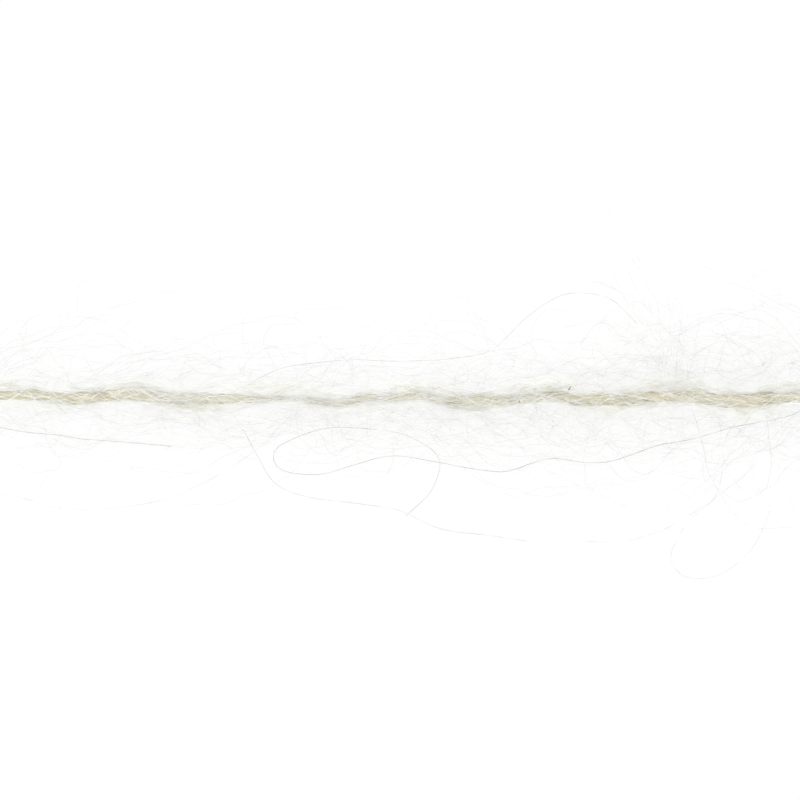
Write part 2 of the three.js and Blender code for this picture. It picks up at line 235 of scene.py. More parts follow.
COVER = dict(count=840, points=20, length=(2, 6.0), winding=(20, 150), hug=(1.0, 2.2),
             flare=(0.0, 0.8), packed=True, forward=0.7, radius=(0.014, 0.028),
             shade=(0.1, 0.9), crimp=0.14, wave=1.5)
HAZE = dict(count=460, points=14, reach=(0.3, 2.0), leave=(10, 80), bends=(0.6, 3.2),
            lengths=(1.6, 9), forward=0.5, radius=(0.007, 0.011), shade=(0.5, 1.0), crimp=0.35,
            wave=2.2)
FLUFF = dict(points=14, reach=(0.3, 1.6), leave=(25, 105), bends=(0.6, 3.2), lengths=(0.9, 4),
             forward=0.72, radius=(0.013, 0.026), shade=(0.4, 1.0), crimp=0.5, wave=1.6)
TUFT_FLUFF = dict(x=29.6, spread=3.4, count=30, points=24, reach=(3, 10), leave=(45, 100),
                  bends=(0.6, 3.2), lengths=(2.5, 12), forward=0.25, radius=(0.006, 0.010),
                  shade=(0.6, 1.0), crimp=1.0, wave=3.0)
TUFT_LOCK = dict(x=30.8, spread=2.0, count=44, points=26, reach=(4, 15), leave=(50, 76),
                 bends=(-0.25, 0.35), lengths=(4, 16), forward=0.0, radius=(0.006, 0.010),
                 shade=(0.6, 1.0), crimp=1.0, wave=3.0)
LOOSE = dict(points=32, radius=(0.006, 0.011), shade=(0.1, 0.85), crimp=0.9, wave=4.0, skew=0.85)
WISP_HAIRS = dict(count=3, points=32, spread=(0.3, 1.8), kept=(0.6, 1.0), drift=(1.0, 1.0, 0.6),
                  sway=0.5, waves=(0.4, 1.4), knots=4, radius=(0.006, 0.011),
                  shade=(0.1, 0.85), crimp=1.0, wave=5.0)
GUARD = dict(points=110, crimp=0.18, wave=5.0)

# How much pale fibre covers the packed fibre: places along the strand, and the cover from 0 to 1
COVER_PLACES = (
    (-45, 0.3), (-34.5, 0.3), (-32.5, 0.8), (-30.5, 0.3), (-28.5, 0.8), (-26.5, 0.7), (-24, 1),
    (-19.5, 1), (-16, 0.5), (-13.5, 0.1), (-10.5, 1), (-6, 1), (-2, 0.6), (1.5, 0.5), (5.5, 1),
    (10, 0.6), (13, 0.4), (16, 0.7), (19.5, 0.6), (22.5, 0.1), (25.5, 0.5), (29, 0.2), (33, 0.4),
    (37, 0.1), (41, 0.1), (50, 0.1),
)

# The loose fibre sways a little more than the strand's own middle
LOOSE_SWAY = 1.12

# How wound fibres stray from an even turning and depth: how much, over what waves, and how far
# apart the fibres' own waves start. Crossing fibres flare mostly near their ends
STRAY = dict(turn=0.45, turn_waves=(0.2, 0.7), depth=0.07, depth_waves=(0.4, 1.1), starts=6)
FLARE_POWER = 3

# The second, quicker wave of a curved run's swing: its share of the first, its pace and its start
QUICK_WAVE = dict(share=0.45, pace=2.7, start=9)

# The swing of short fibres and of loose hairs: in degrees, and in how many waves
SHORT_SWING = dict(angles=(4, 40), waves=(0.5, 1.6))
LOOSE_SWING = dict(angles=(8, 62), waves=(0.7, 2.6))

# Where short fibres have their roots: how far out in the strand, and at what angles round it
SHORT_ROOT_DEPTH = 0.7
FLUFF_ANGLES = (15, 105)
TUFT_ANGLES = (35, 95)

# Loose hairs may have their roots a little outside their zone and be shorter than the wisps, and
# those on the surface sink to it within about a third of their length. The least sine keeps the
# reach of a level hair finite
ZONE_OVERLAP = 1
SHORTEST_LOOSE = 0.7
LOOSE_SINK = 3.2
LEAST_SINE = 0.01

# The fibres' places are spread this share of their length past the cut ends, then cut flush
END_SPREAD = 0.35

# How strongly fibres gather where the strand is thick, and in how many steps its width is read
WIDTH_POWER = 1.3
PLACE_STEPS = 400

# How finely a long hair is smoothed and measured, and the points that a cut fibre has to exceed
SMOOTH_STEPS = 150
HAIR_DIVISIONS = 201
LEAST_POINTS = 3

# Painted light: fibres are made paler within this distance of the strand's body, where others are close
# behind them
PAINTED_LIGHT_WITHIN = 1.3

# Two specks of dry plant matter caught in the fibre: radius, shade, and points as for the hairs
SPECKS = (
    dict(radius=0.075, shade=0.15, points=(
        (19.3, 0.72, 1.75), (19.41, 0.86, 1.8), (19.52, 1.02, 1.75),
    )),
    dict(radius=0.065, shade=1.0, points=(
        (14.34, -0.38, 1.5), (14.41, -0.45, 1.55), (14.48, -0.55, 1.5),
    )),
)
SPECK = dict(points=6, crimp=0.01, wave=1.0)

# The places where loose fluff stands off the strand: along it, the side, the spread and how many
FLUFF_TUFTS = (
    dict(x=-37.0, side=1, spread=2.0, count=22),
    dict(x=-24.0, side=1, spread=3.6, count=36),
    dict(x=-10.0, side=1, spread=4.4, count=40),
    dict(x=3.5, side=1, spread=3.0, count=38),
    dict(x=17.5, side=1, spread=3.0, count=36),
    dict(x=29.0, side=1, spread=5.0, count=32),
    dict(x=43.0, side=1, spread=2.8, count=26),
    dict(x=-30.5, side=-1, spread=2.4, count=22),
    dict(x=-19.0, side=-1, spread=3.0, count=44),
    dict(x=-3.0, side=-1, spread=2.4, count=16),
    dict(x=10.0, side=-1, spread=2.4, count=28),
    dict(x=23.5, side=-1, spread=2.4, count=30),
    dict(x=37.5, side=-1, spread=3.0, count=40),
)

SEEDS = dict(wound=23, crossing=29, cover=30, haze=31, fluff=34, loose=37, wisp_hairs=41)

# The fibres' own sides and thinning towards their tips, where a piece doesn't give others, and
# their crimp: its detail, how far apart two fibres' crimps are, and how soon it is full
FIBRE_SIDES = 3
FIBRE_TAPER = 0.45
CRIMP_DETAIL = 1.5
CRIMP_APART = 3.7
CRIMP_RISE = 5.0

# The fibres' map: where a fibre lies in its cell, what tells its seam and its caps, and the
# shift that gives a cap some area there
CELL = dict(left=0.08, width=0.84, bottom=0.05, height=0.9)
SEAM_SPAN = 0.5
SEAM_SIDE = 0.25
CAP_SPAN = 1e-4
TIP_SHIFT = 0.04

# A row for each finish: its dark and light colours, its roughness and its sheen
FINISHES = dict(
    cream_fibre=dict(dark=(0.48, 0.45, 0.30), light=(0.90, 0.90, 0.85), roughness=0.65, sheen=0.2),
    downy_fibre=dict(dark=(0.68, 0.69, 0.54), light=(0.93, 0.94, 0.86), roughness=0.65, sheen=0.2),
    pale_fibre=dict(dark=(0.82, 0.82, 0.76), light=(0.98, 0.98, 0.97), roughness=0.55, sheen=0.2),
    dry_plant=dict(dark=(0.10, 0.09, 0.07), light=(0.38, 0.25, 0.09), roughness=0.8, sheen=0.0),
    loose_hair=dict(dark=(0.34, 0.34, 0.33), light=(0.93, 0.93, 0.89), roughness=0.5, sheen=0.1),
)
FIBRE_GLOSS = 0.3

# How a fibre's shade wanders in patches: their scale and detail, and the shift that they give
PATCHES = dict(scale=700, detail=2, low=0.3, high=0.7, shift=0.28)

# The packed fibre's finish: its colours, its streaks along the lay and the relief that they give
PACKED_FINISH = dict(dark=(0.46, 0.42, 0.28), light=(0.68, 0.64, 0.48), roughness=0.85, gloss=0.2,
                     scale=14, detail=5, grain=0.65, low=0.3, high=0.7, relief=0.7, depth=0.05)
LAY_PACE = 0.02

# The cord's route through the middle of the solid body
ROUTE_POINTS = 40


def seeded_random(seed):
    """Evenly spread numbers from 0 to 1, the same in every run."""
    multiplier = 16807
    modulus = 2147483647
    state = seed
    while True:
        state = (state * multiplier) % modulus
        yield state / modulus


def between(low_high, share):
    low, high = low_high
    return low + (high - low) * share


def strand_at(x):
    """The strand's middle, half width, half height and turn at places along it."""
    row = np.clip(np.searchsorted(HALF_TURNS[:, 0], x, side="left") - 1, 0, len(HALF_TURNS) - 2)
    here = HALF_TURNS[row]
    following = HALF_TURNS[row + 1]
    share = (x - here[..., 0]) / (following[..., 0] - here[..., 0])
    eased = (1 - np.cos(math.pi * share)) / 2
    turn = math.pi * (row + share)
    half_width = (here[..., 2] + (following[..., 2] - here[..., 2]) * eased) / 2
    half_height = half_width * FLATNESS
    y = here[..., 1] + (following[..., 1] - here[..., 1]) * eased
    z = half_height - SINK + LIFT * (1 + np.sin(turn)) / 2
    return y, z, half_width, half_height, turn


def distance_from_body(points):
    """How far points are outside the strand body."""
    y, z, half_width, half_height, _ = strand_at(points[..., 0])
    across = (points[..., 1] - y) / half_width
    up = (points[..., 2] - z) / half_height
    return (np.hypot(across, up) - 1 - LOBE) * half_height


def curved_run(leave, bend, swing, waves, phase):
    """A curved run in a plane through the strand: it leaves at one angle and turns back as it goes."""
    run = [(0.0, 0.0)]
    for step in range(WISP_STEPS):
        share = (step + 0.5) / WISP_STEPS
        sway = swing * math.sin(2 * math.pi * (share * waves + phase))
        heading = math.radians(leave - bend * share + sway)
        along, out = run[-1]
        run.append((along + math.cos(heading), out + math.sin(heading)))
    return run


def laid_out(run, root_x, way, side, scale, rise):
    """The run laid out from its root, in a plane that rises from the surface by an angle. A wisp
    with no rise sinks from the strand's middle to the surface within its first steps."""
    root_y, root_z, _, _, _ = strand_at(root_x)
    points = []
    for step, (along, out) in enumerate(run):
        start = root_z if rise > 0 else root_z * max(0, 1 - step / WISP_SINK_STEPS)
        y = root_y + side * math.cos(rise) * out * scale
        z = max(0, start + math.sin(rise) * out * scale)
        points.append((root_x + way * along * scale, y, z))
    return np.array(points)


def zone_wisp(zone, place, random):
    """A wisp of one zone of the halo."""
    root_x = between((zone["start"], zone["end"]), place)
    way = -1 if next(random) < 0.5 else 1
    leave = between(zone["leave"], next(random))
    curls = next(random) < zone["curls"]
    bend_share = next(random)
    bend = between(CURL_ANGLES, bend_share) if curls else leave * between(BEND_SHARES, bend_share)
    swing = between(SWING_ANGLES, next(random))
    waves = between(SWING_WAVES, next(random))
    run = curved_run(leave, bend, swing, waves, next(random))
    on_floor = next(random) < FLOOR_SHARE
    rise = 0 if on_floor else math.radians(between((LEAST_RISE, zone["rise"]), next(random)))
    furthest = max(abs(out) for _, out in run)
    wanted = zone["reach"] * between(REACH_SHARES, next(random))
    reach = min(wanted, HALO_HEIGHT / math.sin(rise)) if rise > 0 else wanted
    kept = min(LONGEST_WISP, max(SHORTEST_WISP, WISP_STEPS * reach / furthest))
    return laid_out(run, root_x, way, zone["side"], kept / WISP_STEPS, rise)


def tuft_wisp(place, random):
    """A wisp of the tuft."""
    root_x = TUFT["x"] + TUFT["spread"] * (place - 0.5)
    leave = between(TUFT["lean"], next(random))
    bend = between(TUFT["bend"], next(random))
    swing = between(SWING_ANGLES, next(random))
    run = curved_run(leave, bend, swing, 1, next(random))
    rise = math.radians(between(TUFT["rise"], next(random)))
    length = between(TUFT["lengths"], next(random))
    return laid_out(run, root_x, 1, 1, length / WISP_STEPS, rise)


def samples_along(points):
    """Points close together along a route, with the length from the root to each."""
    spans = np.diff(points, axis=0)
    lengths = np.linalg.norm(spans, axis=1)
    pieces = np.ceil(lengths / SAMPLE_STEP).astype(int)
    span = np.repeat(np.arange(len(spans)), pieces)
    first = np.repeat(np.cumsum(pieces) - pieces, pieces)
    share = (np.arange(len(span)) - first) / pieces[span]
    travelled = (np.cumsum(lengths) - lengths)[span] + lengths[span] * share
    samples = points[span] + spans[span] * share[:, None]
    return np.vstack([samples, points[-1]]), np.append(travelled, lengths.sum())


def leaves_body(samples, lengths):
    """Whether a wisp leaves the body for good and stays within the cut length."""
    x = samples[:, 0]
    inside = (x > STRAND_START - END_OVERHANG) & (x < STRAND_END + END_OVERHANG)
    return bool((inside & ((lengths < LEFT_BODY_BY) | (distance_from_body(samples) > BODY_GAP))).all())


def stands_apart(samples, taken):
    """Whether a wisp keeps its distance from those that are planted."""
    if len(samples) == 0:
        return True
    low = samples.min(axis=0) - WISP_GAP
    high = samples.max(axis=0) + WISP_GAP
    near = taken[((taken >= low) & (taken <= high)).all(axis=1)]
    gaps = np.linalg.norm(samples[:, None, :] - near[None, :, :], axis=2)
    return bool((gaps > WISP_GAP).all())


def smooth_curve(columns, shares):
    """Points on the smooth curve through the chosen ones, at shares of its run of knots."""
    knots = np.array(columns, dtype=float)
    knots = np.vstack([2 * knots[0] - knots[1], knots, 2 * knots[-1] - knots[-2]])
    spans = len(knots) - 3
    place = np.clip(np.asarray(shares) * spans, 0, spans)
    first = np.minimum(np.floor(place).astype(int), spans - 1)
    weight = (place - first)[:, None]
    p0, p1, p2, p3 = (knots[first + step] for step in range(4))
    steps = ((p0, p1), (p1, p2), (p2, p3))
    d0, d1, d2 = (np.sqrt(np.linalg.norm(b - a, axis=1))[:, None] for a, b in steps)
    slope_in = ((p1 - p0) / d0 - (p2 - p0) / (d0 + d1) + (p2 - p1) / d1) * d1
    slope_out = ((p2 - p1) / d1 - (p3 - p1) / (d1 + d2) + (p3 - p2) / d2) * d1
    square = -3 * p1 + 3 * p2 - 2 * slope_in - slope_out
    cube = 2 * p1 - 2 * p2 + slope_in + slope_out
    return p1 + slope_in * weight + square * weight ** 2 + cube * weight ** 3


def lengths_along(route):
    """The length along a route from its root to each of its points."""
    return np.concatenate([[0], np.cumsum(np.linalg.norm(np.diff(route, axis=0), axis=1))])


def long_hair(columns, steps=None):
    """A long hair through its chosen points in even steps, no lower than the surface."""
    divisions = np.linspace(0, 1, HAIR_DIVISIONS)
    lengths = lengths_along(smooth_curve(columns, divisions))
    count = steps or math.floor(lengths[-1] / HAIR_STEP + 0.5)
    even = np.interp(np.linspace(0, lengths[-1], count + 1), lengths, divisions)
    points = smooth_curve(columns, even)
    points[:, 2] = np.maximum(0, points[:, 2])
    return points


def halo_wisps():
    """The wisps of the tuft and the zones, as the part's source plants them."""
    random = seeded_random(SEED)
    taken = []

    def outside_body(samples):
        return samples[distance_from_body(samples) > 0]

    for hair in LONG_HAIRS:
        taken.append(outside_body(samples_along(long_hair(hair["points"]))[0]))
    taken = np.concatenate(taken)
    wisps = []

    def plant(count, side, make_wisp):
        nonlocal taken
        for number in range(count):
            for _ in range(MOST_TRIES):
                points = make_wisp((number + next(random)) / count)
                samples, lengths = samples_along(points)
                if not leaves_body(samples, lengths):
                    continue
                outside = outside_body(samples)
                if stands_apart(outside, taken):
                    wisps.append((side, points))
                    taken = np.concatenate([taken, outside])
                    break

    plant(TUFT["count"], 1, lambda place: tuft_wisp(place, random))
    for zone in ZONES:
        plant(zone["wisps"], zone["side"], lambda place, zone=zone: zone_wisp(zone, place, random))
    return wisps


def resampled(route, count, kept=1.0):
    """A route in evenly spaced points, over a share of its length."""
    lengths = lengths_along(route)
    even = np.linspace(0, lengths[-1] * kept, count)
    return np.stack([np.interp(even, lengths, route[:, axis]) for axis in range(3)], axis=1)


def trimmed(routes, overhang=END_OVERHANG):
    """The longest stretch of each route that stays between the strand's cut ends."""
    count = routes.shape[1]
    inside = (routes[..., 0] >= STRAND_START - overhang) & (routes[..., 0] <= STRAND_END + overhang)
    kept = []
    for route, within in zip(routes, inside):
        if within.all():
            kept.append(route)
            continue
        changes = np.flatnonzero(np.diff(np.concatenate([[False], within, [False]]).astype(int)))
        starts, stops = changes[::2], changes[1::2]
        if len(starts) == 0:
            continue
        longest = np.argmax(stops - starts)
        if stops[longest] - starts[longest] > LEAST_POINTS:
            kept.append(resampled(route[starts[longest]:stops[longest]], count))
    return np.array(kept)


def cover_at(x):
    """How much pale fibre covers the packed fibre at places along the strand."""
    return np.interp(x, *np.array(COVER_PLACES).T)


def packed_at(x):
    """The packed fibre's middle and half width at places along the strand."""
    places, middles, half_widths = np.array(PACKED_PLACES).T
    near = [x + shift for shift in PACKED_SMOOTHING]
    middle = np.mean([np.interp(place, places, middles) for place in near], axis=0)
    half_width = np.mean([np.interp(place, places, half_widths) for place in near], axis=0)
    return middle, half_width


def wound_on(x, sizes):
    """The middle and half width that fibres are wound on: the packed fibre's or the strand's."""
    if sizes["packed"]:
        return packed_at(x)
    y, _, half_width, _, _ = strand_at(x)
    return y * LOOSE_SWAY, half_width


def weighted_places(rng, count, weight_at):
    """Places along the strand, likely in proportion to a weight."""
    even = np.linspace(STRAND_START, STRAND_END, PLACE_STEPS)
    total = np.cumsum(weight_at(even))
    return np.interp(rng.random(count) * total[-1], total, even)


def thick_places(rng, sizes):
    """Places along the strand, more of them where it is thick and fewer where it is covered."""
    def weight_at(x):
        _, half_width = wound_on(x, sizes)
        return half_width ** WIDTH_POWER * (1 - sizes["covered"] * cover_at(x))

    return weighted_places(rng, sizes["count"], weight_at)


def wound_routes(rng, sizes):
    """Fibres wound with the twist, cut flush at the strand's cut ends."""
    count = sizes["count"]
    reach = rng.uniform(*sizes["length"], count)
    place = thick_places(rng, sizes)
    place += END_SPREAD * reach * (2 * place - STRAND_START - STRAND_END) / (STRAND_END - STRAND_START)
    first = np.maximum(place - reach / 2, STRAND_START)
    last = np.minimum(place + reach / 2, STRAND_END)
    share = np.linspace(0, 1, sizes["points"])
    x = first[:, None] + (last - first)[:, None] * share
    _, z, _, _, turn = strand_at(x)
    y, half_width = wound_on(x, sizes)
    middle = turn[:, sizes["points"] // 2, None]
    each = (count, 1)
    angle = 2 * math.pi * rng.random(each) + middle + (turn - middle) * rng.normal(1, sizes["pace"], each)
    turn_waves = x * rng.uniform(*STRAY["turn_waves"], each) + STRAY["starts"] * rng.random(each)
    angle += STRAY["turn"] * np.sin(turn_waves)
    depth_waves = x * rng.uniform(*STRAY["depth_waves"], each) + STRAY["starts"] * rng.random(each)
    depth = rng.uniform(*sizes["depth"], each) + STRAY["depth"] * np.sin(depth_waves)
    lobed = 1 + LOBE * np.cos(2 * (angle - turn))
    across = y - np.sin(angle) * half_width * lobed * depth
    up = z + np.cos(angle) * FLATNESS * half_width * lobed * depth
    return np.stack([x, across, up], axis=2)


def crossed_at(rng, middle, sizes):
    """Pale fibres that cross over the strand more steeply than its twist, and flare at their ends."""
    count = sizes["count"]
    share = np.linspace(-1, 1, sizes["points"])
    x = middle[:, None] + rng.uniform(*sizes["length"], (count, 1)) / 2 * share
    _, z, _, _, _ = strand_at(x)
    y, half_width = wound_on(x, sizes)
    way = np.where(rng.random((count, 1)) < sizes["forward"], 1, -1)
    winding = np.radians(rng.uniform(*sizes["winding"], (count, 1)))
    angle = 2 * math.pi * rng.random((count, 1)) + way * winding / 2 * share
    flare = rng.uniform(*sizes["flare"], (count, 1)) * np.abs(share) ** FLARE_POWER
    depth = rng.uniform(*sizes["hug"], (count, 1)) + flare
    across = y - np.sin(angle) * half_width * depth
    up = z + np.cos(angle) * FLATNESS * half_width * depth
    return trimmed(np.stack([x, across, up], axis=2), 0)


def crossing_routes(rng, sizes):
    """Crossing fibres all along the strand."""
    return crossed_at(rng, rng.uniform(STRAND_START, STRAND_END, sizes["count"]), sizes)


def cover_routes(rng, sizes):
    """Crossing fibres where pale fibre covers the packed fibre."""
    return crossed_at(rng, weighted_places(rng, sizes["count"], cover_at), sizes)


def curved_runs(leave, bend, swing, waves, phase, points):
    """Many curved runs of unit steps at once."""
    share = (np.arange(points - 1) + 0.5) / (points - 1)
    phases = 2 * math.pi * (share * waves[:, None] + phase[:, None])
    quick_phases = QUICK_WAVE["pace"] * phases + QUICK_WAVE["start"] * phase[:, None]
    sway = swing[:, None] * (np.sin(phases) + QUICK_WAVE["share"] * np.sin(quick_phases))
    heading = np.radians(leave[:, None] - bend[:, None] * share + sway)
    nought = np.zeros((len(leave), 1))
    along = np.hstack([nought, np.cumsum(np.cos(heading), axis=1)])
    out = np.hstack([nought, np.cumsum(np.sin(heading), axis=1)])
    return along, out


def short_routes(rng, root_x, angle, sizes):
    """Short fibres that stand off the strand's surface, each rooted at an angle round it."""
    count = len(root_x)
    y, z, half_width, _, _ = strand_at(root_x)
    leave = rng.uniform(*sizes["leave"], count)
    bend = leave * rng.uniform(*sizes["bends"], count)
    points = sizes["points"]
    swing = rng.uniform(*SHORT_SWING["angles"], count)
    waves = rng.uniform(*SHORT_SWING["waves"], count)
    along, out = curved_runs(leave, bend, swing, waves, rng.random(count), points)
    reach = rng.uniform(*sizes["reach"], count)
    length = np.clip(reach * (points - 1) / np.abs(out).max(axis=1), *sizes["lengths"])
    scale = (length / (points - 1))[:, None]
    way = np.where(rng.random(count) < sizes["forward"], 1, -1)[:, None]
    from_middle = SHORT_ROOT_DEPTH * half_width[:, None] + out * scale
    x = root_x[:, None] + way * along * scale
    across = y[:, None] - np.sin(angle)[:, None] * from_middle
    up = z[:, None] + np.cos(angle)[:, None] * from_middle * FLATNESS
    return trimmed(np.stack([x, across, up], axis=2))


def haze_routes(rng, sizes):
    """Short fibres all along the strand and all round it."""
    root_x = rng.uniform(STRAND_START, STRAND_END, sizes["count"])
    return short_routes(rng, root_x, 2 * math.pi * rng.random(sizes["count"]), sizes)


def fluff_routes(rng, sizes):
    """Short fibres gathered where loose fluff stands off the strand to one side."""
    tufts = [rng.normal(row["x"], row["spread"] / 2, row["count"]) for row in FLUFF_TUFTS]
    root_x = np.clip(np.concatenate(tufts), STRAND_START, STRAND_END)
    side = np.concatenate([np.full(row["count"], row["side"]) for row in FLUFF_TUFTS])
    angle = -side * np.radians(rng.uniform(*FLUFF_ANGLES, len(side)))
    return short_routes(rng, root_x, angle, sizes)


def tuft_routes(rng, sizes):
    """The fine soft fibres of the tuft that stands out from the +Y side."""
    root_x = rng.normal(sizes["x"], sizes["spread"], sizes["count"])
    return short_routes(rng, root_x, -np.radians(rng.uniform(*TUFT_ANGLES, sizes["count"])), sizes)


def loose_routes(rng, side, sizes):
    """The loose hairs of one side of the halo, in the zones' own numbers and reach."""
    points = sizes["points"]
    made = []
    for zone in (row for row in ZONES if row["side"] == side):
        count = zone["hairs"]
        root_x = rng.uniform(zone["start"] - ZONE_OVERLAP, zone["end"] + ZONE_OVERLAP, count)
        root_y, root_z, _, _, _ = strand_at(root_x)
        way = np.where(rng.random(count) < 0.5, -1, 1)[:, None]
        leave = rng.uniform(*zone["leave"], count)
        curls = rng.random(count) < zone["curls"]
        curled = rng.uniform(*CURL_ANGLES, count)
        bend = np.where(curls, curled, leave * rng.uniform(*BEND_SHARES, count))
        swing = rng.uniform(*LOOSE_SWING["angles"], count)
        waves = rng.uniform(*LOOSE_SWING["waves"], count)
        along, out = curved_runs(leave, bend, swing, waves, rng.random(count), points)
        on_floor = rng.random(count) < FLOOR_SHARE
        rise = np.radians(np.where(on_floor, 0, rng.uniform(LEAST_RISE, zone["rise"], count)))
        reach = zone["reach"] * between(REACH_SHARES, rng.random(count) ** sizes["skew"])
        reach = np.minimum(reach, HALO_HEIGHT / np.maximum(np.sin(rise), LEAST_SINE))
        length = reach * (points - 1) / np.abs(out).max(axis=1)
        length = np.clip(length, SHORTEST_WISP * SHORTEST_LOOSE, LONGEST_WISP)
        scale = (length / (points - 1))[:, None]
        sink = np.maximum(0, 1 - np.arange(points) / points * LOOSE_SINK)
        start = root_z[:, None] * np.where(on_floor[:, None], sink, 1)
        x = root_x[:, None] + way * along * scale
        y = root_y[:, None] + side * np.cos(rise)[:, None] * out * scale
        z = start + np.sin(rise)[:, None] * out * scale
        made.append(trimmed(np.stack([x, y, z], axis=2)))
    return np.concatenate(made)


def wisp_hair_routes(rng, wisps, sizes):
    """The few hairs of each solid wisp, which part from each other towards their tips."""
    made = []
    share = np.linspace(0, 1, sizes["points"])
    for points in wisps:
        knots = np.linspace(0, 1, sizes["knots"] * len(points))
        middle = resampled(smooth_curve(points, knots), sizes["points"])
        for _ in range(sizes["count"]):
            spread = rng.uniform(*sizes["spread"])
            drift = rng.normal(0, 1, 3) * sizes["drift"]
            sway = rng.normal(0, sizes["sway"], 3) * sizes["drift"]
            waves = rng.uniform(*sizes["waves"])
            phase = rng.random()
            swing = np.sin(2 * math.pi * (share * waves + phase)) - math.sin(2 * math.pi * phase)
            offset = spread * (share[:, None] * drift + share[:, None] * swing[:, None] * sway)
            made.append(resampled(middle + offset, sizes["points"], rng.uniform(*sizes["kept"])))
    return trimmed(np.array(made))


def painted_light_near_body(routes, shade):
    """A fibre's shade at each point, with painted light: paler where other fibres are close behind it."""
    # Painted light: the colour is made paler the nearer the fibre lies to the strand's body
    away = np.clip(distance_from_body(routes) / PAINTED_LIGHT_WITHIN, 0, 1)
    near = (1 - away) ** 2
    return shade[:, None] * (1 - near) + near


def fibre_routes(name, groups):
    """A mesh of plain edges along the routes of groups of fibres, with each point's share of the
    way, fibre number, radius, shade and crimp."""
    places = []
    edges = []
    columns = {"share": [], "fibre": [], "radius_m": [], "shade": [], "crimp": [], "wave": []}
    fibres_before = 0
    points_before = 0
    for routes, radius, shade, sizes in groups:
        fibres, points, _ = routes.shape
        places.append((routes * MM).reshape(-1, 3))
        first = (np.arange(fibres)[:, None] * points + np.arange(points - 1)).ravel() + points_before
        edges.append(np.stack([first, first + 1], axis=1))
        columns["share"].append(np.tile(np.linspace(0, 1, points), fibres))
        columns["fibre"].append(np.repeat(np.arange(fibres, dtype=float) + fibres_before, points))
        columns["radius_m"].append(np.repeat(radius * MM, points))
        columns["shade"].append(shade.ravel())
        columns["crimp"].append(np.full(fibres * points, sizes["crimp"] * MM))
        columns["wave"].append(np.full(fibres * points, 1 / (sizes["wave"] * MM)))
        fibres_before += fibres
        points_before += fibres * points
    mesh = bpy.data.meshes.new(name)
    mesh.vertices.add(points_before)
    mesh.vertices.foreach_set("co", np.concatenate(places).ravel())
    joined = np.concatenate(edges)
    mesh.edges.add(len(joined))
    mesh.edges.foreach_set("vertices", joined.ravel())
    for column, values in columns.items():
        attribute = mesh.attributes.new(column, "FLOAT", "POINT")
        attribute.data.foreach_set("value", np.concatenate(values).astype(np.float32))
    thing = bpy.data.objects.new(name, mesh)
    bpy.context.scene.collection.objects.link(thing)
    return thing


def new_socket(tree, name, kind, value=None, direction="INPUT"):
    """Adds a named input or output to a tree."""
    made = tree.interface.new_socket(name=name, in_out=direction, socket_type=kind)
    if value is not None:
        made.default_value = value


def column_value(tree, name):
    """The value that a route's points have in a column."""
    node = tree.nodes.new("GeometryNodeInputNamedAttribute")
    node.data_type = "FLOAT"
    node.inputs["Name"].default_value = name
    return node.outputs["Attribute"]


def maths(tree, operation, first, second):
    """What an operation makes of two values, each a number or another node's output."""
    node = tree.nodes.new("ShaderNodeMath")
    node.operation = operation
    for entry, value in zip(node.inputs, (first, second)):
        if isinstance(value, (int, float)):
            entry.default_value = value
        else:
            tree.links.new(value, entry)
    return node.outputs[0]


